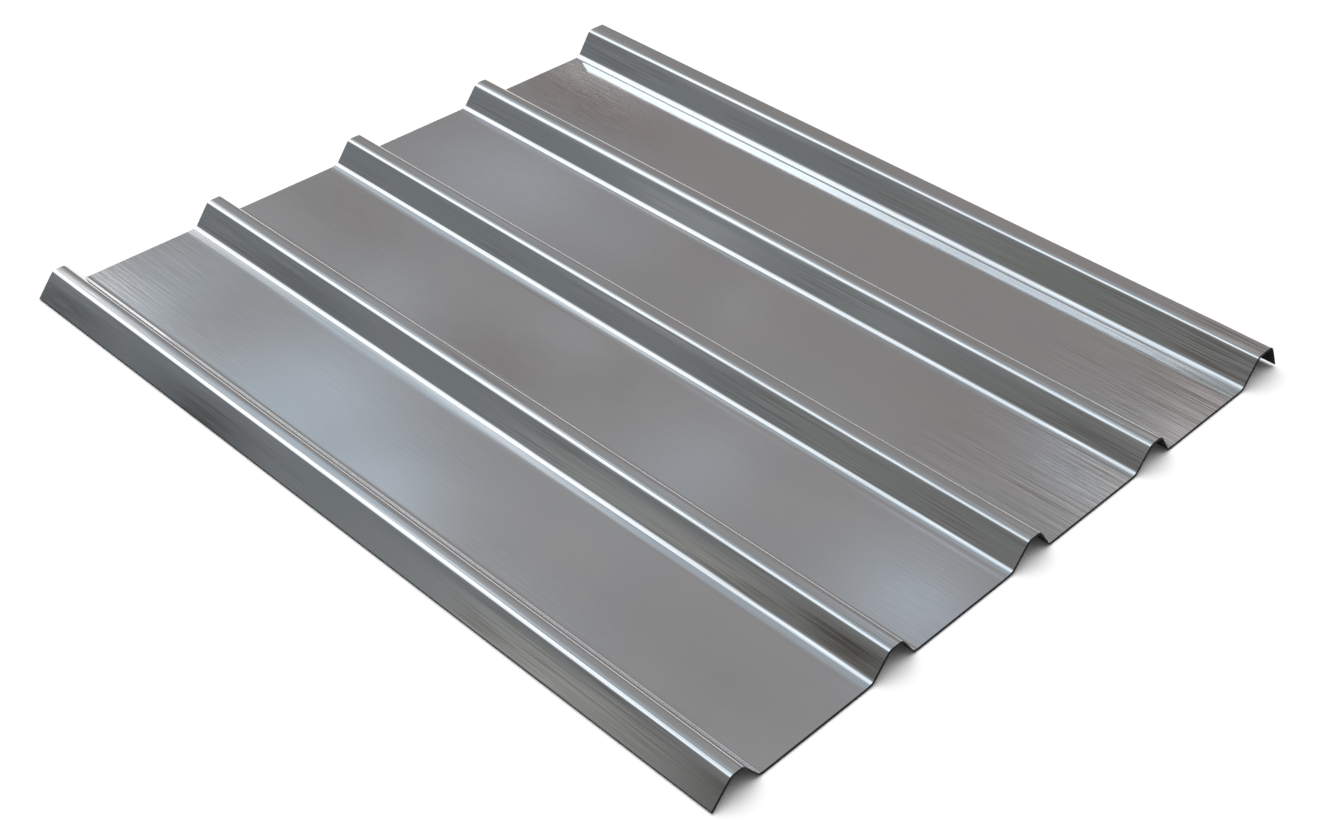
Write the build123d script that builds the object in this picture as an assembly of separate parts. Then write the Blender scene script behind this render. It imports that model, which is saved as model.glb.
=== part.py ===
from build123d import *
import os

# A rolled cladding sheet: one strip of thin metal bent into ribs that run its whole length.
# X runs across the ribs, Y along them and Z up. The pans lie on Z = 0.

# Driving dimensions, in millimetres
sheet_length = 990.0
sheet_thickness = 1.2
rib_pitch = 200.0
rib_count = 5

# The ribs between the two edges, measured on the sheet's underside, sharp corner to sharp corner
rib_height = 27.0
rib_base_width = 56.6
rib_crown_width = 16.8

# The rib at the underlap edge, which goes under the next sheet, and its free leg
underlap_height = 26.0
underlap_base_width = 56.2
underlap_crown_width = 14.0
leg_reach = 28.0

# The rib at the overlap edge, which covers the next sheet's underlap rib, and its free lip
overlap_height = 31.8
overlap_base_width = 64.6
overlap_crown_width = 25.0
lip_reach = 29.2
lip_clearance = 2.0

# Bend radii, each on the hollow side of its bend
crown_bend_radius = 4.1
foot_bend_radius = 7.5

os.makedirs("parts", exist_ok=True)


def feet(rib_centre, base_width):
    """The points on the ground line where a rib's two webs meet the pans beside it."""
    left_foot = (rib_centre - base_width / 2, 0)
    right_foot = (rib_centre + base_width / 2, 0)
    return left_foot, right_foot


def crown_corners(rib_centre, crown_width, height):
    """The points where a rib's two webs meet its flat crown."""
    left_corner = (rib_centre - crown_width / 2, height)
    right_corner = (rib_centre + crown_width / 2, height)
    return left_corner, right_corner


def underside_corners():
    """The sharp corners of the sheet's underside, from the leg's edge to the lip's edge."""
    last_centre = rib_pitch * (rib_count - 1)
    leg_edge = (-leg_reach, 0)
    lip_edge = (last_centre + lip_reach, lip_clearance)

    underlap_right_foot = feet(0, underlap_base_width)[1]
    corners = [leg_edge, *crown_corners(0, underlap_crown_width, underlap_height), underlap_right_foot]

    for rib in range(1, rib_count - 1):
        rib_centre = rib_pitch * rib
        left_foot, right_foot = feet(rib_centre, rib_base_width)
        corners += [left_foot, *crown_corners(rib_centre, rib_crown_width, rib_height), right_foot]

    overlap_left_foot = feet(last_centre, overlap_base_width)[0]
    corners += [overlap_left_foot, *crown_corners(last_centre, overlap_crown_width, overlap_height), lip_edge]
    return corners


def bend_radii(corners):
    """The underside's radius at each bend: crowns are hollow below, and feet are hollow above."""
    radii = []
    for corner_height in [corner[1] for corner in corners[1:-1]]:
        is_foot = corner_height == 0
        radii.append(foot_bend_radius + sheet_thickness if is_foot else crown_bend_radius)
    return radii


def rolled_section():
    """The bent strip seen from its end: the underside line, thickened upwards by the metal."""
    corners = underside_corners()
    underside = FilletPolyline(*corners, radius=bend_radii(corners))
    outline = offset(underside, amount=sheet_thickness, side=Side.LEFT)
    section = make_face(outline)
    middle_of_width = section.bounding_box().center().X
    return Pos(-middle_of_width, 0) * section


profiled_sheet = extrude(Plane.XZ * rolled_section(), amount=sheet_length / 2, both=True)
export_step(profiled_sheet, "parts/profiled_sheet.step")
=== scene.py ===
import math

import bpy
import numpy as np
from mathutils import Matrix


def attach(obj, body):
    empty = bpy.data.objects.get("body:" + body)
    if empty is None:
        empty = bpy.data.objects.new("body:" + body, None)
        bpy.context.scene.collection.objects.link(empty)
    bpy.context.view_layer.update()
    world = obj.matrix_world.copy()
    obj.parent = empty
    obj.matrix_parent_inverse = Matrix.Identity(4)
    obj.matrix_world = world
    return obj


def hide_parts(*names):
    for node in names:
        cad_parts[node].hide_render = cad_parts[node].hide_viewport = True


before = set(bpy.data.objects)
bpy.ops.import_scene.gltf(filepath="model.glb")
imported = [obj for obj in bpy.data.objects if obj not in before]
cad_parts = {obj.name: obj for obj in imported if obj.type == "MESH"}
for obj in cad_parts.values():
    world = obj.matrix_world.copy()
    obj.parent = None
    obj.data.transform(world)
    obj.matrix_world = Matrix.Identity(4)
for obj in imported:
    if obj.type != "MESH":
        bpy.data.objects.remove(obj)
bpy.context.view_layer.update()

# Sizes of the rolled sheet, in metres, as the frame has them
SHEET_LENGTH = 0.990
THICKNESS = 0.0012
RIB_PITCH = 0.200
RIB_COUNT = 5

RIB_HEIGHT = 0.0270
RIB_BASE = 0.0566
RIB_CROWN = 0.0168

UNDERLAP_HEIGHT = 0.0260
UNDERLAP_BASE = 0.0562
UNDERLAP_CROWN = 0.0140
LEG_REACH = 0.0280

OVERLAP_HEIGHT = 0.0318
OVERLAP_BASE = 0.0646
OVERLAP_CROWN = 0.0250
LIP_REACH = 0.0292
LIP_CLEARANCE = 0.0020

CROWN_BENDS = (0.0041, 0.0041, 0.0041, 0.0058, 0.0041)
FOOT_BENDS = (0.0075, 0.0082, 0.0078, 0.0088, 0.0108)

# Rollers turn a bend in gently from its flat side: by an angle, over a length, at a rate that grows
# with a power. A bend then runs out down its web: by an angle, over a length
CROWN_EASE_ANGLE = math.radians(14)
CROWN_EASE_LENGTH = 0.0054
CROWN_EASE_POWERS = (2.0, 2.0, 2.2, 1.2, 1.3)
CROWN_RUN_OUT = (math.radians(3.5), 0.0130)
FOOT_EASE = (math.radians(2.5), 0.0025, 1.0)
LONG_FOOT_EASE = (math.radians(9), 0.0140, 1.6)
FAINT_FOOT_EASE = (math.radians(2.5), 0.0080, 1.5)
LEFT_FOOT_EASES = (FOOT_EASE, LONG_FOOT_EASE, LONG_FOOT_EASE, FAINT_FOOT_EASE, FOOT_EASE)
FOOT_RUN_OUT = (0.0, 0.0004)

# How finely the surface is drawn
ARC_STEPS = 12
EASE_STEPS = 8
LAST_STEPS = 5
SUM_STEPS = 600
FLAT_STEP = 0.0075
LENGTH_STEP = 0.0150
SHARP_ANGLE = math.radians(35)

# How far the cut edges are broken, and how wide the rims of painted shade beside them are: dark strips on
# the face along the near end and the two long edges, which stand for the contact shadow under these edges
EDGE_BREAK = 0.00012
NEAR_RIM = 0.0013
SIDE_RIM = 0.0009

# The finishes of the faces, in the order of the piece's materials: the metal face, the underside in painted
# shade, and the cut edges and their rims in painted shade
FACE, BACK, CUT_SHADE = 0, 1, 2

# The gentle bow that rolling leaves in the wide pans, and how much it varies along them
PAN_BOW = 0.00005
BOW_VARIATION = 0.8
BOW_WAVELENGTHS = (0.47, 0.31, 0.19)
BOW_SHIFT = 2.4


def underside_corners():
    """The sharp corners (x, z) of the sheet's underside, from the leg's edge to the lip's edge."""
    ribs = [(UNDERLAP_BASE, UNDERLAP_CROWN, UNDERLAP_HEIGHT)]
    ribs += [(RIB_BASE, RIB_CROWN, RIB_HEIGHT)] * (RIB_COUNT - 2)
    ribs += [(OVERLAP_BASE, OVERLAP_CROWN, OVERLAP_HEIGHT)]
    corners = []
    for number, (base, crown, height) in enumerate(ribs):
        centre = RIB_PITCH * number
        corners += [(centre - base / 2, 0.0), (centre - crown / 2, height)]
        corners += [(centre + crown / 2, height), (centre + base / 2, 0.0)]
    corners[0] = (-LEG_REACH, 0.0)
    corners[-1] = (RIB_PITCH * (RIB_COUNT - 1) + LIP_REACH, LIP_CLEARANCE)
    return np.array(corners)


def run_stations(length):
    """Distances along a straight run: evenly spaced, with two more close to each end."""
    even = np.linspace(0.0, length, max(2, math.ceil(length / FLAT_STEP) + 1))
    close = np.array([EDGE_BREAK, SIDE_RIM])
    return np.unique(np.round(np.concatenate([even, close, length - close]), 9))


def eased_bend(angle, radius, ease_angle, ease_length, ease_power, last_angle, last_length):
    """A bend drawn from its flat side: its stations (x, z), their headings and its two setbacks.

    At the distance q along the strip it has turned by e (q / l)^p while q < l, and then at the rate
    1 / radius. Over the last length m it turns by the last angle f, as f (1 - (1 - q' / m)^2). A
    point is the running sum of the headings. The setbacks are how far the two ends lie from the
    sharp corner.
    """
    arc = (angle - ease_angle - last_angle) * radius
    whole = ease_length + arc + last_length

    def turned(q):
        eased = ease_angle * (np.minimum(q, ease_length) / ease_length) ** ease_power
        left = 1.0 - np.clip(q - ease_length - arc, 0.0, last_length) / last_length
        return eased + np.clip(q - ease_length, 0.0, arc) / radius + last_angle * (1.0 - left ** 2)

    q = np.linspace(0.0, whole, SUM_STEPS)
    middles = turned((q[:-1] + q[1:]) / 2)
    x = np.concatenate([[0.0], np.cumsum(np.cos(middles))]) * q[1]
    z = np.concatenate([[0.0], np.cumsum(np.sin(middles))]) * q[1]
    far_setback = z[-1] / math.sin(angle)
    flat_setback = x[-1] - far_setback * math.cos(angle)
    eased_stations = np.linspace(0.0, ease_length, EASE_STEPS, endpoint=False)
    arc_stations = np.linspace(ease_length, ease_length + arc, ARC_STEPS, endpoint=False)
    last_stations = np.linspace(ease_length + arc, whole, LAST_STEPS)
    stations = np.concatenate([eased_stations, arc_stations, last_stations])
    points = np.stack([np.interp(stations, q, x), np.interp(stations, q, z)], axis=1)
    return points, turned(stations), flat_setback, far_setback


def bend_at(corner, heading, turn, is_foot, is_flat_first, rib):
    """A bend in its place at a corner, from its start to its end: points, headings and setbacks.

    The flat side of a bend is the pan or the crown. Where it comes last, the bend is drawn backwards
    from its end.
    """
    angle, side = abs(turn), np.sign(turn)
    if is_foot:
        radius = FOOT_BENDS[rib] + THICKNESS
        ease = (LEFT_FOOT_EASES[rib] if is_flat_first else FOOT_EASE) + FOOT_RUN_OUT
    else:
        radius = CROWN_BENDS[rib]
        ease = (CROWN_EASE_ANGLE, CROWN_EASE_LENGTH, CROWN_EASE_POWERS[rib]) + CROWN_RUN_OUT
    points, turned, flat_setback, far_setback = eased_bend(angle, radius, *ease)
    flat_heading = heading if is_flat_first else heading + turn
    way = 1.0 if is_flat_first else -1.0
    forward = np.array([math.cos(flat_heading), math.sin(flat_heading)])
    aside = side * np.array([-forward[1], forward[0]])
    start = corner - way * flat_setback * forward
    placed = start + way * points[:, :1] * forward + points[:, 1:] * aside
    headings = flat_heading + way * side * turned
    if is_flat_first:
        return placed, headings, flat_setback, far_setback
    return placed[::-1], headings[::-1], far_setback, flat_setback


def rolled_line():
    """The sheet's underside as a line of stations from the leg's edge to the lip's edge.

    Straight runs and eased bends take turns. Each station has its point, the unit normal that
    points up through the metal, its share of the way across a pan (0 elsewhere) and its pan's number.
    """
    corners = underside_corners()
    runs = np.diff(corners, axis=0)
    lengths = np.linalg.norm(runs, axis=1)
    headings = np.arctan2(runs[:, 1], runs[:, 0])
    turns = np.diff(headings)
    bends = []
    for k in range(1, len(corners) - 1):
        is_foot, is_flat_first, rib = corners[k, 1] == 0, k % 2 == 0, k // 4
        bends.append(bend_at(corners[k], headings[k - 1], turns[k - 1], is_foot, is_flat_first, rib))
    before = [0.0] + [end_setback for _, _, _, end_setback in bends]
    after = [start_setback for _, _, start_setback, _ in bends] + [0.0]

    points, angles, shares, pans = [], [], [], []
    for k, heading in enumerate(headings):
        straight = lengths[k] - before[k] - after[k]
        along = run_stations(straight)
        forward = np.array([math.cos(heading), math.sin(heading)])
        is_pan = corners[k, 1] == corners[k + 1, 1] == 0
        points.append(corners[k] + forward * (before[k] + along)[:, None])
        angles.append(np.full(len(along), heading))
        shares.append(along / straight * is_pan)
        pans.append(np.full(len(along), k // 4))
        if k < len(bends):
            placed, turned = bends[k][:2]
            points.append(placed[1:-1])
            angles.append(turned[1:-1])
            shares.append(np.zeros(len(placed) - 2))
            pans.append(np.zeros(len(placed) - 2))
    points, angles, shares, pans = [np.concatenate(column) for column in (points, angles, shares, pans)]
    return points, np.stack([-np.sin(angles), np.cos(angles)], axis=1), shares, pans


def pan_bow(share, pan, y):
    """How far a pan has bowed up: the bow times sin(pi share) squared, varied along the sheet
    by a few sine waves that start elsewhere in each pan."""
    waves = sum(
        np.sin(2 * np.pi * y / length + BOW_SHIFT * pan * (number + 1) + number)
        for number, length in enumerate(BOW_WAVELENGTHS)
    )
    variation = 1 + BOW_VARIATION * waves / len(BOW_WAVELENGTHS)
    return PAN_BOW * np.sin(np.pi * share) ** 2 * variation


def sheet_rows():
    """Places along the sheet: evenly spaced, with closer ones at both cut ends."""
    half = SHEET_LENGTH / 2
    even = np.linspace(-half, half, math.ceil(SHEET_LENGTH / LENGTH_STEP) + 1)
    near = np.array([EDGE_BREAK, NEAR_RIM]) - half
    far = half - np.array([EDGE_BREAK, SIDE_RIM])
    return np.unique(np.round(np.concatenate([even, near, far]), 9))


def section_loop(last):
    """The loop of points round the section: over the upper face, down the right edge, back along
    the underside and up the left edge. Each has its station's number and its level above the
    underside."""
    over = np.arange(1, last)
    station = np.concatenate([over, [last, last], over[::-1], [0, 0]])
    level = np.concatenate([
        np.full(len(over), THICKNESS), [THICKNESS - EDGE_BREAK, EDGE_BREAK],
        np.zeros(len(over)), [EDGE_BREAK, THICKNESS - EDGE_BREAK],
    ])
    return station, level


def shell_faces(ring, row_count):
    """The four-cornered faces of the closed shell: those between the rows, and the two end caps.

    A cap joins each point of the upper face to the one below it, and then closes its two corners.
    """
    a = np.arange(row_count - 1)[:, None] * ring + np.arange(ring)
    b = np.arange(row_count - 1)[:, None] * ring + np.roll(np.arange(ring), -1)
    sides = np.stack([a, b, b + ring, a + ring], axis=-1).reshape(-1, 4)

    over = ring // 2 - 2
    upper = np.arange(over - 1)
    lower = 2 * over + 1 - upper
    near_cap = np.stack([upper, lower, lower - 1, upper + 1], axis=-1)
    left_corner = np.array([[0, ring - 1, ring - 2, lower[0]]])
    right_corner = np.array([[over - 1, over + 2, over + 1, over]])
    near_cap = np.concatenate([near_cap, left_corner, right_corner])
    far_cap = near_cap[:, ::-1] + ring * (row_count - 1)
    return sides, near_cap, far_cap


def side_finishes(station, level, walked, row_count):
    """The finish of each face between the rows: the cut edges with the rims of painted shade (contact
    shadow) beside the two long edges and the near end, the underside, or the upper face."""
    to_side = np.minimum(walked, walked[-1] - walked)[station]
    is_rim = np.maximum(to_side, np.roll(to_side, -1)) < SIDE_RIM + EDGE_BREAK
    is_shaded_edge = np.repeat(is_rim[None], row_count - 1, axis=0)
    near_break, near_rim, far_break = 0, 1, -1
    is_shaded_edge[[near_break, near_rim, far_break]] = True
    is_lower = np.minimum(level, np.roll(level, -1)) == 0
    return np.where(is_shaded_edge, CUT_SHADE, np.where(is_lower, BACK, FACE)).ravel()


def rolled_sheet():
    """The whole sheet as one closed shell: vertices, faces, finishes and attributes.

    A point is underside(s) + n normal(s) + d tangent(s) at the place y along the ribs, with n from
    0 to the thickness. The section's loop of such points is carried along y, and its two end rings
    are drawn in by the edge break, as the corners of the cut edges are.
    """
    points, normals, shares, pans = rolled_line()
    tangents = np.stack([normals[:, 1], -normals[:, 0]], axis=1)
    steps = np.linalg.norm(np.diff(points + normals * THICKNESS / 2, axis=0), axis=1)
    walked = np.concatenate([[0.0], np.cumsum(steps)])
    station, level = section_loop(len(points) - 1)

    rows = sheet_rows()
    is_end = np.abs(rows) > SHEET_LENGTH / 2 - EDGE_BREAK / 2
    drawn_in = 1 - 2 * EDGE_BREAK / THICKNESS
    end_level = THICKNESS / 2 + (level - THICKNESS / 2) * drawn_in
    end_shift = EDGE_BREAK * (1 - 2 * walked[station] / walked[-1])
    n = np.where(is_end[:, None], end_level, level)
    n = n + pan_bow(shares[station], pans[station], rows[:, None])
    d = np.where(is_end[:, None], end_shift, 0.0)
    place = points[station] + n[..., None] * normals[station] + d[..., None] * tangents[station]

    middle = (place[..., 0].min() + place[..., 0].max()) / 2
    y = np.repeat(rows[:, None], len(station), axis=1)
    vertices = np.stack([place[..., 0] - middle, y, place[..., 1]], axis=-1).reshape(-1, 3)
    is_under = np.repeat((level < THICKNESS / 2)[None], len(rows), axis=0)
    rolled_place = np.stack([np.tile(walked[station], (len(rows), 1)), y, is_under], axis=-1)
    steepness = np.abs(normals[:, 0]) / np.abs(normals[:, 0]).max()
    web_share = np.tile(steepness[station], (len(rows), 1))
    attributes = {"rolled_place": rolled_place.reshape(-1, 3), "web_share": web_share.ravel()}

    sides, near_cap, far_cap = shell_faces(len(station), len(rows))
    faces = np.concatenate([sides, near_cap, far_cap])
    # The end caps are cut faces in painted shade
    caps = np.full(len(near_cap) + len(far_cap), CUT_SHADE)
    finish = np.concatenate([side_finishes(station, level, walked, len(rows)), caps])
    return vertices, faces, finish, attributes


def make_piece(name, vertices, faces, material_of_face, materials, attributes):
    """A mesh object from whole arrays of vertices, four-cornered faces and vertex attributes."""
    mesh = bpy.data.meshes.new(name)
    mesh.from_pydata(vertices.tolist(), [], faces.tolist())
    for material in materials:
        mesh.materials.append(material)
    mesh.polygons.foreach_set("material_index", material_of_face.astype(np.int32))
    for attribute, values in attributes.items():
        kind, field = ("FLOAT_VECTOR", "vector") if values.ndim == 2 else ("FLOAT", "value")
        layer = mesh.attributes.new(attribute, kind, "POINT")
        layer.data.foreach_set(field, values.astype(np.float32).ravel())
    mesh.shade_smooth()
    mesh.set_sharp_from_angle(angle=SHARP_ANGLE)
    mesh.validate()
    piece = bpy.data.objects.new(name, mesh)
    bpy.context.scene.collection.objects.link(piece)
    return piece


class Tree:
    """Short ways to write nodes into a node tree."""

    def __init__(self, tree):
        self.tree = tree

    def node(self, kind, inputs=(), **settings):
        """A node of a kind, with its settings, and with its input sockets set or linked in order."""
        made = self.tree.nodes.new(kind)
        for setting, value in settings.items():
            setattr(made, setting, value)
        pairs = inputs.items() if isinstance(inputs, dict) else enumerate(inputs)
        for key, value in pairs:
            if isinstance(value, bpy.types.NodeSocket):
                self.tree.links.new(value, made.inputs[key])
            else:
                made.inputs[key].default_value = value
        return made

    def group(self, group, inputs):
        """The value that a node group gives for its inputs."""
        return self.node("ShaderNodeGroup", inputs, node_tree=group).outputs["Value"]

    def math(self, operation, *values):
        """The result of one piece of arithmetic."""
        return self.node("ShaderNodeMath", values, operation=operation).outputs[0]

    def vector(self, operation, *values):
        """The vector result of one piece of vector arithmetic."""
        return self.node("ShaderNodeVectorMath", values, operation=operation).outputs["Vector"]

    def dot(self, first, second):
        """The dot product of two vectors."""
        made = self.node("ShaderNodeVectorMath", [first, second], operation="DOT_PRODUCT")
        return made.outputs["Value"]

    def bell(self, distance, width):
        """A bell curve: exp(-(distance / width)^2)."""
        squared = self.math("POWER", self.math("DIVIDE", distance, width), 2.0)
        return self.math("EXPONENT", self.math("MULTIPLY", squared, -1.0))

    def ramp(self, value, low, high, to_low=0.0, to_high=1.0):
        """A smooth step from to_low to to_high as value goes from low to high."""
        inputs = {"Value": value, "From Min": low, "From Max": high, "To Min": to_low, "To Max": to_high}
        return self.node("ShaderNodeMapRange", inputs, interpolation_type="SMOOTHSTEP").outputs[0]

    def mix(self, share, first, second):
        """A colour between two colours."""
        factor, a, b, colour = 0, 6, 7, 2
        inputs = {factor: share, a: first, b: second}
        return self.node("ShaderNodeMix", inputs, data_type="RGBA").outputs[colour]


def new_group(name, inputs, outputs):
    """An empty shader node group with named sockets, and its two end nodes."""
    group = bpy.data.node_groups.new(name, "ShaderNodeTree")
    for socket, kind in inputs:
        group.interface.new_socket(socket, in_out="INPUT", socket_type=kind)
    for socket, kind in outputs:
        group.interface.new_socket(socket, in_out="OUTPUT", socket_type=kind)
    return Tree(group), group.nodes.new("NodeGroupInput"), group.nodes.new("NodeGroupOutput")


# How far apart the grains of the face and of the underside lie in the noise
UNDERSIDE_SHIFT = 10.0


def lengthwise_grain_group():
    """Noise drawn out along the ribs: (s across, y along) becomes noise(s / width, y / length)."""
    tree, given, out = new_group(
        "lengthwise_grain",
        [("Place", "NodeSocketVector"), ("Width", "NodeSocketFloat"), ("Length", "NodeSocketFloat"),
         ("Detail", "NodeSocketFloat"), ("Shift", "NodeSocketFloat")],
        [("Value", "NodeSocketFloat")],
    )
    across = tree.math("DIVIDE", 1.0, given.outputs["Width"])
    along = tree.math("DIVIDE", 1.0, given.outputs["Length"])
    scale = tree.node("ShaderNodeCombineXYZ", [across, along, UNDERSIDE_SHIFT]).outputs[0]
    spread = tree.vector("MULTIPLY", given.outputs["Place"], scale)
    shift = tree.node("ShaderNodeCombineXYZ", [0.0, 0.0, given.outputs["Shift"]]).outputs[0]
    at = tree.vector("ADD", spread, shift)
    noise = tree.node("ShaderNodeTexNoise", {"Vector": at, "Scale": 1.0, "Detail": given.outputs["Detail"]})
    tree.tree.links.new(noise.outputs["Fac"], out.inputs["Value"])
    return tree.tree


def new_material(name):
    """A material with an empty node tree and its output node."""
    material = bpy.data.materials.new(name)
    material.use_nodes = True
    material.node_tree.nodes.clear()
    tree = Tree(material.node_tree)
    return material, tree, tree.node("ShaderNodeOutputMaterial")


def grain_in(tree, grain, width, length, detail, shift):
    """The lengthwise grain in a material, read from the place that each point had in the flat strip."""
    place = tree.node("ShaderNodeAttribute", attribute_name="rolled_place").outputs["Vector"]
    inputs = {"Place": place, "Width": width, "Length": length, "Detail": detail, "Shift": shift}
    return tree.group(grain, inputs)


# Grains along the ribs: width, length, detail and shift
BROAD_GRAIN = (0.0030, 0.075, 2.0, 0.0)
FINE_GRAIN = (0.0011, 0.034, 1.0, 31.0)
STREAK_GRAIN = (0.0019, 0.130, 2.0, 71.0)
PATCH_GRAIN = (0.050, 0.180, 1.0, 13.0)
CLOUD_GRAIN = (0.060, 0.110, 3.0, 57.0)
UNDERSIDE_GRAIN = (0.0030, 0.090, 2.0, 11.0)
SHEAR_GRAIN = (0.0006, 0.0006, 2.0, 83.0)

# The middle part of a grain's values, where nearly all of them lie
GRAIN_RANGE = (0.3, 0.7)

# Where the streaks are strong: at the near end of the right pans, at the far end of the left one,
# and on the webs, more so towards the near end. Patches of the surface are left calmer
NEAR_END = (-0.480, -0.270)
NEAR_STREAKS = (-0.060, 0.060)
NEAR_PATCHES = (0.38, 0.58, 0.50, 1.0)
FAR_END = (0.330, 0.480)
FAR_STREAKS = (-0.290, -0.200)
FAR_LEFTOVER = 0.12
FAR_SHARE = 0.55
WEB_PATCHES = (0.42, 0.62, 0.08, 0.60)
WEB_STREAKS = (-0.420, 0.100)
WEB_STREAK_LEVELS = (1.5, 0.8)

# The depth of the streaks' relief, over the sheet and at the ends, and its share on bends and webs
RELIEF = 0.00002
END_RELIEF = 0.00006
FINE_RELIEF_SHARE = 0.40
CALM_BENDS = (0.02, 0.30)
CALM_RELIEF = 0.30

METAL_TONES = ((0.590, 0.600, 0.606, 1), (0.618, 0.620, 0.622, 1))
METAL_ROUGHNESS = (0.055, 0.095)
END_ROUGHNESS = 0.05
LIGHT_STREAK = (0.790, 0.780, 0.760, 1)
LIGHT_STREAK_RANGE = (0.50, 0.64)
LIGHT_STREAK_STRENGTH = 0.75
DARK_STREAK = (0.360, 0.315, 0.280, 1)
DARK_STREAK_RANGE = (0.52, 0.36)
DARK_STREAK_STRENGTH = 0.80
FAR_DARK_STREAK_LOSS = 0.60

# Painted shade: the underside and the cut edges get near-black colours for the shade and the dark
# reflections that they show
UNDERSIDE_SHADE_TONES = ((0.008, 0.008, 0.009, 1), (0.018, 0.018, 0.019, 1))
UNDERSIDE_ROUGHNESS = 0.60
UNDERSIDE_SHINE = 0.15
CUT_EDGE_SHADE_TONES = ((0.006, 0.006, 0.007, 1), (0.020, 0.020, 0.021, 1))
SHEAR_ROUGHNESS = 0.60
SHEAR_SHINE = 0.10


def rolled_metal(grain):
    """Bare rolled metal: a clear reflection, broken up by fine streaks along the ribs.

    The streaks are faint over the pans, and stronger on the webs and towards the cut ends.
    """
    material, tree, out = new_material("rolled_metal")
    broad = grain_in(tree, grain, *BROAD_GRAIN)
    fine = grain_in(tree, grain, *FINE_GRAIN)
    streak = grain_in(tree, grain, *STREAK_GRAIN)
    patch = grain_in(tree, grain, *PATCH_GRAIN)
    cloud = grain_in(tree, grain, *CLOUD_GRAIN)

    place = tree.node("ShaderNodeTexCoord").outputs["Object"]
    across, along, _ = tree.node("ShaderNodeSeparateXYZ", [place]).outputs
    near_end = tree.math("MULTIPLY", tree.ramp(along, *NEAR_END, 1.0, 0.0), tree.ramp(across, *NEAR_STREAKS))
    near_end = tree.math("MULTIPLY", near_end, tree.ramp(patch, *NEAR_PATCHES))
    far_side = tree.ramp(across, *FAR_STREAKS, 1.0, FAR_LEFTOVER)
    far_end = tree.math("MULTIPLY", tree.ramp(along, *FAR_END), far_side)
    end_share = tree.math("MULTIPLY_ADD", far_end, FAR_SHARE, near_end)
    on_web = tree.node("ShaderNodeAttribute", attribute_name="web_share").outputs["Fac"]
    web_marks = tree.math("MULTIPLY", on_web, tree.ramp(patch, *WEB_PATCHES))
    web_marks = tree.math("MULTIPLY", web_marks, tree.ramp(along, *WEB_STREAKS, *WEB_STREAK_LEVELS))
    marked = tree.math("MAXIMUM", end_share, web_marks)

    height = tree.math("MULTIPLY_ADD", fine, FINE_RELIEF_SHARE, broad)
    relief = tree.math("MULTIPLY_ADD", end_share, END_RELIEF - RELIEF, RELIEF)
    relief = tree.math("MULTIPLY", relief, tree.ramp(on_web, *CALM_BENDS, 1.0, CALM_RELIEF))
    bump = tree.node("ShaderNodeBump", {"Strength": 1.0, "Distance": relief, "Height": height})

    tone = tree.mix(tree.ramp(cloud, *GRAIN_RANGE), *METAL_TONES)
    light_streak = tree.math("MULTIPLY", tree.ramp(streak, *LIGHT_STREAK_RANGE), marked)
    tone = tree.mix(tree.math("MULTIPLY", light_streak, LIGHT_STREAK_STRENGTH), tone, LIGHT_STREAK)
    dark_streak = tree.math("MULTIPLY", tree.ramp(streak, *DARK_STREAK_RANGE), marked)
    dark_strength = tree.math("MULTIPLY_ADD", far_end, -FAR_DARK_STREAK_LOSS, DARK_STREAK_STRENGTH)
    tone = tree.mix(tree.math("MULTIPLY", dark_streak, dark_strength), tone, DARK_STREAK)

    roughest = tree.math("MULTIPLY_ADD", end_share, END_ROUGHNESS, METAL_ROUGHNESS[1])
    roughness = tree.ramp(fine, *GRAIN_RANGE, METAL_ROUGHNESS[0], roughest)
    metal = tree.node("ShaderNodeBsdfPrincipled", {
        "Base Color": tone, "Metallic": 1.0, "Roughness": roughness, "Normal": bump.outputs[0],
    })
    tree.tree.links.new(metal.outputs[0], out.inputs[0])
    return material


def underside_shade(grain):
    """The underside in painted shade: a near-black colour with a dull shine that stands for the shade under
    the sheet, faintly streaked along the ribs.
    """
    material, tree, out = new_material("underside_shade")
    streak = grain_in(tree, grain, *UNDERSIDE_GRAIN)
    tone = tree.mix(tree.ramp(streak, *GRAIN_RANGE), *UNDERSIDE_SHADE_TONES)
    underside_bsdf = tree.node("ShaderNodeBsdfPrincipled", {
        "Base Color": tone, "Metallic": 0.0, "Roughness": UNDERSIDE_ROUGHNESS,
        "Specular IOR Level": UNDERSIDE_SHINE,
    })
    tree.tree.links.new(underside_bsdf.outputs[0], out.inputs[0])
    return material


def cut_edge_shade(grain):
    """The cut edges and the rims beside them in painted shade: near black and rough, standing for the shade
    and dark reflections there, with the fine marks of the shear.
    """
    material, tree, out = new_material("cut_edge_shade")
    marks = grain_in(tree, grain, *SHEAR_GRAIN)
    tone = tree.mix(marks, *CUT_EDGE_SHADE_TONES)
    scale = tree.node("ShaderNodeBsdfPrincipled", {
        "Base Color": tone, "Metallic": 0.0, "Roughness": SHEAR_ROUGHNESS,
        "Specular IOR Level": SHEAR_SHINE,
    })
    tree.tree.links.new(scale.outputs[0], out.inputs[0])
    return material


FLOOR_SIZE = 60.0
FLOOR_DROP = 0.0010
FLOOR_COLOUR = (0.80, 0.80, 0.80, 1)
SEEN_FLOOR_COLOUR = (1.0, 1.0, 1.0, 1)
SEEN_FLOOR_LIFT = 0.02


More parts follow.
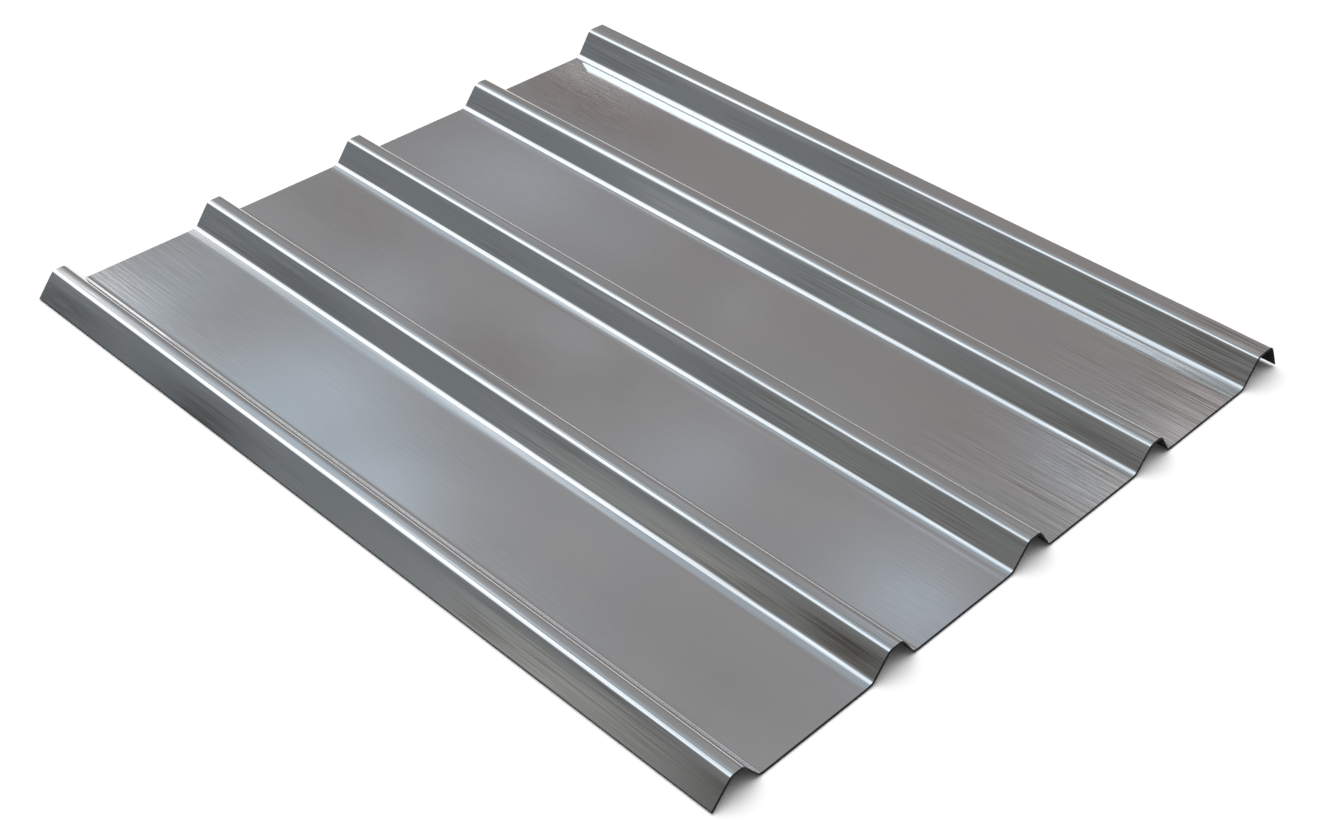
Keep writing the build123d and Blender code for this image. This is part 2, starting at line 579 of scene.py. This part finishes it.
def floor_material():
    """A plain pale floor. Seen straight or in a reflection it is lifted to white, and keeps the shadow."""
    material, tree, out = new_material("pale_floor")
    plain = tree.node("ShaderNodeBsdfDiffuse", {"Color": FLOOR_COLOUR})
    seen = tree.node("ShaderNodeBsdfDiffuse", {"Color": SEEN_FLOOR_COLOUR})
    lift = tree.node("ShaderNodeEmission", {"Strength": SEEN_FLOOR_LIFT})
    white = tree.node("ShaderNodeAddShader", [seen.outputs[0], lift.outputs[0]])
    path = tree.node("ShaderNodeLightPath")
    is_seen = tree.math("MAXIMUM", path.outputs["Is Camera Ray"], path.outputs["Is Glossy Ray"])
    is_seen = tree.math("MAXIMUM", is_seen, path.outputs["Is Transmission Ray"])
    both = tree.node("ShaderNodeMixShader", [is_seen, plain.outputs[0], white.outputs[0]])
    tree.tree.links.new(both.outputs[0], out.inputs[0])
    return material


def make_floor():
    """A wide square floor just under the sheet."""
    half = FLOOR_SIZE / 2
    corners = np.array([(-half, -half), (half, -half), (half, half), (-half, half)])
    vertices = np.column_stack([corners, np.full(4, -FLOOR_DROP)])
    mesh = bpy.data.meshes.new("floor")
    mesh.from_pydata(vertices.tolist(), [], [(0, 1, 2, 3)])
    mesh.materials.append(floor_material())
    floor = bpy.data.objects.new("floor", mesh)
    bpy.context.scene.collection.objects.link(floor)


# The camera's place, which the studio's plan is drawn from
CAMERA_PLACE = (-1.20286, -1.16136, 1.20521)

# The studio. Directions are (azimuth, elevation) in degrees, azimuth 0 along +Y and 90 along +X, and
# the plan is what a flat pan shows: x across the ribs and y along them, in metres
LEFT_WALL = (0.250, 0.270, 0.283)
LEFT_WALL_NEAR = (0.238, 0.243, 0.240)
LEFT_WALL_CHANGE = (-64.0, -48.0)
RIGHT_WALL = (0.430, 0.430, 0.438)
RIGHT_WALL_END = (0.362, 0.340, 0.338)
RIGHT_WALL_CHANGE = (-0.32, 0.28)
RIGHT_WALL_FROM = (-25.0, 15.0)
RIGHT_WALL_TO = (120.0, 175.0)
CEILING = (0.84, 0.95, 1.05)
CEILING_EDGE = (58.0, 66.0)
LEFT_CEILING_EDGE = (47.0, 56.0)

# The dim panel beside the right wall, lighter about its middle
PANEL_EDGE = (-0.490, -0.360)
PANEL_RISE = (33.0, 42.0)
PANEL_SIDE = (0.0, 20.0)
PANEL_LIGHT = (0.46, 0.52, 0.57)
PANEL_MIDDLE_LIGHT = (0.90, 0.98, 1.05)
PANEL_MIDDLE = -0.165
PANEL_MIDDLE_SPREAD = 0.13

# The large round light, cut off straight on its right
KEY_PLACE = (-6.0, 46.0)
KEY_RADIUS = 19.0
KEY_EDGE = 8.0
KEY_SIDE = (-0.885, -0.845)
KEY_LIGHT = (1.60, 1.62, 1.64)
KEY_NEAR_LIGHT = (1.34, 1.41, 1.47)
KEY_FADE = (-0.56, -0.28)

# The bright strip along the round light's straight side
STRIP_FROM = (-1.02, -0.94)
STRIP_LIGHT = (2.55, 2.80, 2.95)
STRIP_NEAR_LIGHT = (1.52, 1.70, 1.86)
STRIP_FADE = (-0.53, -0.33)
STRIP_END = (-0.78, -0.68)

# The bright line low down all round the right
HORIZON_RISE = (12.0, 4.0)
HORIZON_LIGHT = (1.50, 1.54, 1.58)

# The glow about the round light
HALO_CORE = 15.0
HALO_SPREAD = 14.0
HALO_COLOUR = (1.15, 1.27, 1.35)
LEFT_HALO_RISE = (24.0, 38.0)
PANEL_HALO = 0.10
CEILING_HALO_LOSS = 0.45

# A soft light on the panel
LOBE_PLACE = (17.0, 33.0)
LOBE_RADIUS = 8.0
LOBE_LIGHT = 1.0

# The least height of a direction that the plan is worked out for
LOWEST_IN_PLAN = 0.12

# The soft lamp above that lights whatever isn't metal, weaker on the camera's side
LAMP_RISE = (28.0, 60.0)
LAMP_LEVELS = (0.14, 2.88)
LAMP_BEHIND = (90.0, 140.0)
LAMP_TOP = (62.0, 72.0)
LAMP_BEHIND_LOSS = 0.65

SKY = (0.110, 0.155, 0.197)
SHADE = (-0.060, -0.075, -0.080)
GLOW = (1.0, 1.0, 1.0)
OLIVE = (1.0, 0.97, 0.84)
COOL = (0.93, 1.00, 1.06)

# Soft patches in the plan: centre (x, y), half widths (across, along), turn in degrees, tint, strength
PLAN_PATCHES = [
    ((-0.365, 0.450), (0.028, 0.075), 0, GLOW, 0.14),
    ((-0.415, 0.460), (0.030, 0.090), 0, GLOW, 0.90),
    ((-0.415, 0.240), (0.035, 0.260), 0, SKY, 2.20),
    ((-0.310, 0.420), (0.090, 0.045), 0, SKY, 1.15),
    ((-0.315, 0.165), (0.085, 0.105), 0, SKY, 1.75),
    ((-0.365, -0.005), (0.065, 0.075), 0, SKY, 1.50),
    ((-0.310, -0.400), (0.100, 0.150), 0, SHADE, 0.85),
    ((-0.155, 0.250), (0.050, 0.045), 0, SKY, 0.65),
    ((-0.160, 0.070), (0.048, 0.080), 0, SHADE, 1.50),
    ((-0.055, 0.055), (0.028, 0.045), 0, SKY, 0.45),
    ((-0.100, -0.040), (0.050, 0.050), 0, SHADE, 0.60),
    ((-0.184, 0.100), (0.016, 0.160), 0, SHADE, 0.90),
    ((0.022, 0.100), (0.016, 0.150), 0, SHADE, 0.90),
    ((0.361, 0.460), (0.010, 0.095), 0, GLOW, 1.10),
    ((-0.130, -0.185), (0.075, 0.050), 0, SKY, 0.70),
    ((-0.125, -0.455), (0.060, 0.075), -30, SKY, 1.60),
    ((-0.080, 0.380), (0.050, 0.120), 0, SHADE, 1.20),
    ((0.105, 0.330), (0.110, 0.120), 0, SKY, 1.05),
    ((0.100, 0.150), (0.080, 0.050), 0, SKY, 0.35),
    ((0.110, -0.030), (0.028, 0.024), 0, SKY, 0.60),
    ((0.110, -0.320), (0.070, 0.080), 0, SHADE, 0.40),
    ((0.290, 0.400), (0.048, 0.130), 0, SHADE, 2.10),
    ((0.190, -0.530), (0.090, 0.048), 0, GLOW, 0.60),
    ((0.158, -0.450), (0.016, 0.065), 0, SKY, 4.60),
]

# Soft patches on the left wall, that the webs show: centre and half widths as directions in degrees
WALL_PATCHES = [
    ((-57.4, 16.6), (4.6, 3.2), 0, OLIVE, 0.190),
    ((-63.8, 20.4), (1.7, 2.0), 0, COOL, -0.155),
    ((-44.6, 14.0), (1.7, 1.7), 0, COOL, -0.180),
    ((-39.5, 13.2), (1.5, 1.3), 0, COOL, -0.150),
    ((-50.6, 26.2), (2.3, 1.7), 0, GLOW, 0.150),
    ((-57.2, 28.2), (1.7, 1.4), 0, GLOW, 0.070),
    ((-65.0, 29.5), (2.2, 1.6), 0, GLOW, -0.050),
    ((-59.8, 24.0), (1.2, 1.2), 0, GLOW, 0.040),
    ((-55.5, 23.3), (3.5, 1.2), 0, GLOW, -0.020),
]

# The boxes that hold the patches: middle and half spans
PLAN_BOX = ((0.05, -0.15), (0.75, 0.80))
WALL_BOX = ((-53.0, 21.5), (17.0, 10.5))


def direction(azimuth, elevation):
    """The unit vector towards an azimuth and elevation in degrees."""
    a, e = math.radians(azimuth), math.radians(elevation)
    return math.sin(a) * math.cos(e), math.cos(a) * math.cos(e), math.sin(e)


def soft_patch_group():
    """A round soft patch: exp(-(p^2 + r^2)), with p and r the place, measured from the centre along
    two level axes that are given as 1 / half width long."""
    tree, given, out = new_group(
        "soft_patch",
        [("Place", "NodeSocketVector"), ("Centre", "NodeSocketVector"), ("Across", "NodeSocketVector"),
         ("Along", "NodeSocketVector")],
        [("Value", "NodeSocketFloat")],
    )
    away = tree.vector("SUBTRACT", given.outputs["Place"], given.outputs["Centre"])
    p = tree.dot(away, given.outputs["Across"])
    r = tree.dot(away, given.outputs["Along"])
    squared = tree.math("MULTIPLY_ADD", p, p, tree.math("MULTIPLY", r, r))
    value = tree.math("EXPONENT", tree.math("MULTIPLY", squared, -1.0))
    tree.tree.links.new(value, out.inputs["Value"])
    return tree.tree


def add_patches(tree, group, place, patches):
    """For each tint, the sum of its soft patches, each times its strength."""
    tints = {}
    for centre, (across, along), turn, tint, strength in patches:
        t = math.radians(turn)
        value = tree.group(group, {
            "Place": place,
            "Centre": (*centre, 0.0),
            "Across": (math.cos(t) / across, math.sin(t) / across, 0.0),
            "Along": (-math.sin(t) / along, math.cos(t) / along, 0.0),
        })
        tints[tint] = tree.math("MULTIPLY_ADD", value, strength, tints.get(tint, 0.0))
    return tints


class Studio:
    """What the metal shows all round it, as nodes that read the direction looked in.

    The plan is the studio as a flat pan shows it: the direction (x, y, z) shows at the camera's
    place + its height (x, y) / z.
    """

    def __init__(self, tree):
        self.tree = tree
        self.towards = tree.node("ShaderNodeTexCoord").outputs["Generated"]
        x, y, z = tree.node("ShaderNodeSeparateXYZ", [self.towards]).outputs
        self.azimuth = self.in_degrees(tree.math("ARCTAN2", x, y))
        self.elevation = self.in_degrees(tree.math("ARCSINE", z))
        reach = tree.math("DIVIDE", CAMERA_PLACE[2], tree.math("MAXIMUM", z, LOWEST_IN_PLAN))
        self.plan_x = tree.math("MULTIPLY_ADD", x, reach, CAMERA_PLACE[0])
        self.plan_y = tree.math("MULTIPLY_ADD", y, reach, CAMERA_PLACE[1])

        on_right = tree.ramp(self.azimuth, *PANEL_SIDE)
        self.on_left = tree.math("SUBTRACT", 1.0, on_right)
        self.panel = tree.math("MULTIPLY", on_right, tree.ramp(self.plan_x, *PANEL_EDGE, 1.0, 0.0))
        left_ceiling = tree.math("MULTIPLY", self.on_left, tree.ramp(self.elevation, *LEFT_CEILING_EDGE))
        self.ceiling = tree.math("MAXIMUM", tree.ramp(self.elevation, *CEILING_EDGE), left_ceiling)
        self.from_key = self.angle_from(KEY_PLACE)
        self.beside_key = tree.ramp(self.plan_x, *KEY_SIDE, 1.0, 0.0)

    def in_degrees(self, angle):
        """An angle in degrees."""
        return self.tree.math("MULTIPLY", angle, math.degrees(1.0))

    def angle_from(self, place):
        """The angle in degrees between the direction looked in and a place in the studio."""
        return self.in_degrees(self.tree.math("ARCCOSINE", self.tree.dot(self.towards, direction(*place))))

    def add(self, light, amount, tint):
        """The light with an amount of a tint added."""
        level = self.tree.node("ShaderNodeCombineXYZ", [amount] * 3).outputs[0]
        return self.tree.vector("MULTIPLY_ADD", level, tint, light)

    def room(self):
        """The grey walls, the pale ceiling and the dim panel."""
        tree = self.tree
        from_left = tree.ramp(self.azimuth, *RIGHT_WALL_FROM)
        on_right_wall = tree.math("SUBTRACT", from_left, tree.ramp(self.azimuth, *RIGHT_WALL_TO))
        along_right = tree.ramp(self.plan_x, *RIGHT_WALL_CHANGE)
        right_wall = tree.mix(along_right, (*RIGHT_WALL, 1), (*RIGHT_WALL_END, 1))
        along_left = tree.ramp(self.azimuth, *LEFT_WALL_CHANGE)
        left_wall = tree.mix(along_left, (*LEFT_WALL_NEAR, 1), (*LEFT_WALL, 1))
        wall = tree.mix(on_right_wall, left_wall, right_wall)
        light = tree.mix(self.ceiling, wall, (*CEILING, 1))

        from_middle = tree.math("SUBTRACT", self.plan_y, PANEL_MIDDLE)
        near_middle = tree.bell(from_middle, PANEL_MIDDLE_SPREAD)
        panel_light = tree.mix(near_middle, (*PANEL_LIGHT, 1), (*PANEL_MIDDLE_LIGHT, 1))
        raised_panel = tree.math("MULTIPLY", self.panel, tree.ramp(self.elevation, *PANEL_RISE))
        return tree.mix(raised_panel, light, panel_light)

    def add_halo(self, light):
        """The glow about the round light, faint on the panel and on the ceiling."""
        tree = self.tree
        beyond = tree.math("MAXIMUM", tree.math("SUBTRACT", self.from_key, HALO_CORE), 0.0)
        halo = tree.bell(beyond, HALO_SPREAD)
        reach_left = tree.math("MULTIPLY", self.on_left, tree.ramp(self.elevation, *LEFT_HALO_RISE))
        halo = tree.math("MULTIPLY", halo, tree.math("MULTIPLY_ADD", self.panel, PANEL_HALO, reach_left))
        halo = tree.math("MULTIPLY", halo, tree.math("MULTIPLY_ADD", self.ceiling, -CEILING_HALO_LOSS, 1.0))
        return self.add(light, halo, HALO_COLOUR)

    def lay_key_and_strip(self, light):
        """The round light and the bright strip along its side, laid over the light so far."""
        tree = self.tree
        key = tree.ramp(self.from_key, KEY_RADIUS - KEY_EDGE / 2, KEY_RADIUS + KEY_EDGE / 2, 1.0, 0.0)
        along_key = tree.ramp(self.plan_y, *KEY_FADE)
        key_light = tree.mix(along_key, (*KEY_NEAR_LIGHT, 1), (*KEY_LIGHT, 1))
        light = tree.mix(tree.math("MULTIPLY", key, self.beside_key), light, key_light)

        strip = tree.math("MULTIPLY", self.beside_key, tree.ramp(self.plan_x, *STRIP_FROM))
        strip = tree.math("MULTIPLY", strip, tree.ramp(self.plan_y, *STRIP_END))
        along_strip = tree.ramp(self.plan_y, *STRIP_FADE)
        strip_light = tree.mix(along_strip, (*STRIP_NEAR_LIGHT, 1), (*STRIP_LIGHT, 1))
        return tree.mix(strip, light, strip_light)

    def add_lobe_and_horizon(self, light):
        """The soft light on the panel and the bright line low down on the right, added."""
        tree = self.tree
        lobe = tree.bell(self.angle_from(LOBE_PLACE), LOBE_RADIUS)
        light = self.add(light, tree.math("MULTIPLY", lobe, self.panel), (LOBE_LIGHT,) * 3)
        low = tree.ramp(self.elevation, *HORIZON_RISE)
        horizon = tree.math("MULTIPLY", low, tree.ramp(self.azimuth, *RIGHT_WALL_FROM))
        return self.add(light, horizon, HORIZON_LIGHT)

    def within(self, place, middle, half_span):
        """1 where a place lies inside a level box, and 0 outside it."""
        tree = self.tree
        away = tree.vector("SUBTRACT", place, (*middle, 0.0))
        across, along, _ = tree.node("ShaderNodeSeparateXYZ", [away]).outputs
        inside_across = tree.math("LESS_THAN", tree.math("ABSOLUTE", across), half_span[0])
        inside_along = tree.math("LESS_THAN", tree.math("ABSOLUTE", along), half_span[1])
        return tree.math("MULTIPLY", inside_across, inside_along)

    def with_patches(self, light):
        """A background of the light, with both sets of patches. Outside its own box a set adds
        nothing, and is skipped."""
        tree = self.tree
        plan = tree.node("ShaderNodeCombineXYZ", [self.plan_x, self.plan_y, 0.0]).outputs[0]
        angles = tree.node("ShaderNodeCombineXYZ", [self.azimuth, self.elevation, 0.0]).outputs[0]
        group = soft_patch_group()
        shown = tree.node("ShaderNodeBackground", {"Color": light}).outputs[0]
        for place, patches, box in ((plan, PLAN_PATCHES, PLAN_BOX), (angles, WALL_PATCHES, WALL_BOX)):
            patched = light
            for tint, amount in add_patches(tree, group, place, patches).items():
                patched = self.add(patched, amount, tint)
            inside = tree.node("ShaderNodeBackground", {"Color": patched}).outputs[0]
            shown = tree.node("ShaderNodeMixShader", [self.within(place, *box), shown, inside]).outputs[0]
        return shown

    def lamp(self):
        """A background of the plain soft lamp above."""
        tree = self.tree
        behind = tree.ramp(tree.math("ABSOLUTE", self.azimuth), *LAMP_BEHIND)
        behind = tree.math("MULTIPLY", behind, tree.ramp(self.elevation, *LAMP_TOP, 1.0, 0.0))
        kept = tree.math("MULTIPLY_ADD", behind, -LAMP_BEHIND_LOSS, 1.0)
        level = tree.math("MULTIPLY", tree.ramp(self.elevation, *LAMP_RISE, *LAMP_LEVELS), kept)
        return tree.node("ShaderNodeBackground", {"Strength": level}).outputs[0]


def make_studio():
    """The world: the metal shows the studio, the rest is lit by the lamp, and the camera sees white."""
    world = bpy.data.worlds.new("studio")
    bpy.context.scene.world = world
    world.use_nodes = True
    world.node_tree.nodes.clear()
    tree = Tree(world.node_tree)
    studio = Studio(tree)
    light = studio.add_halo(studio.room())
    light = studio.add_lobe_and_horizon(studio.lay_key_and_strip(light))
    shown = studio.with_patches(light)
    path = tree.node("ShaderNodeLightPath").outputs
    shown = tree.node("ShaderNodeMixShader", [path["Is Glossy Ray"], studio.lamp(), shown]).outputs[0]
    backdrop = tree.node("ShaderNodeBackground", {"Color": (1, 1, 1, 1)}).outputs[0]
    shown = tree.node("ShaderNodeMixShader", [path["Is Camera Ray"], shown, backdrop]).outputs[0]
    out = tree.node("ShaderNodeOutputWorld")
    tree.tree.links.new(shown, out.inputs[0])


# The camera's view, as the photograph has it
CAMERA_AZIMUTH = -46.440
CAMERA_ELEVATION = 38.071
CAMERA_ROLL = 1.561
SENSOR_WIDTH = 36.0
LENS = 53.056


def make_camera():
    """A camera that looks down on the sheet across its ribs, rolled a little about its own line."""
    a, e, roll = (math.radians(v) for v in (CAMERA_AZIMUTH, CAMERA_ELEVATION, CAMERA_ROLL))
    forward = np.array([-math.sin(a) * math.cos(e), math.cos(a) * math.cos(e), -math.sin(e)])
    level = np.array([math.cos(a), math.sin(a), 0.0])
    above = np.cross(level, forward)
    right = math.cos(roll) * level + math.sin(roll) * above
    up = -math.sin(roll) * level + math.cos(roll) * above
    lens = bpy.data.cameras.new("camera")
    lens.sensor_fit = "HORIZONTAL"
    lens.sensor_width = SENSOR_WIDTH
    lens.lens = LENS
    camera = bpy.data.objects.new("camera", lens)
    turned = Matrix(np.column_stack([right, up, -forward]).tolist()).to_4x4()
    camera.matrix_world = Matrix.Translation(CAMERA_PLACE) @ turned
    bpy.context.scene.collection.objects.link(camera)
    bpy.context.scene.camera = camera


def make_sheet():
    """The visible sheet, which stands for the CAD solid."""
    vertices, faces, finish, attributes = rolled_sheet()
    grain = lengthwise_grain_group()
    # The underside, and the cut edges with their rims, carry painted shade
    materials = [rolled_metal(grain), underside_shade(grain), cut_edge_shade(grain)]
    sheet = make_piece("rolled_sheet", vertices, faces, finish, materials, attributes)
    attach(sheet, "root")
    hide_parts("profiled_sheet")


make_camera()
make_studio()
make_floor()
make_sheet()
bpy.context.scene.view_settings.view_transform = "Standard"
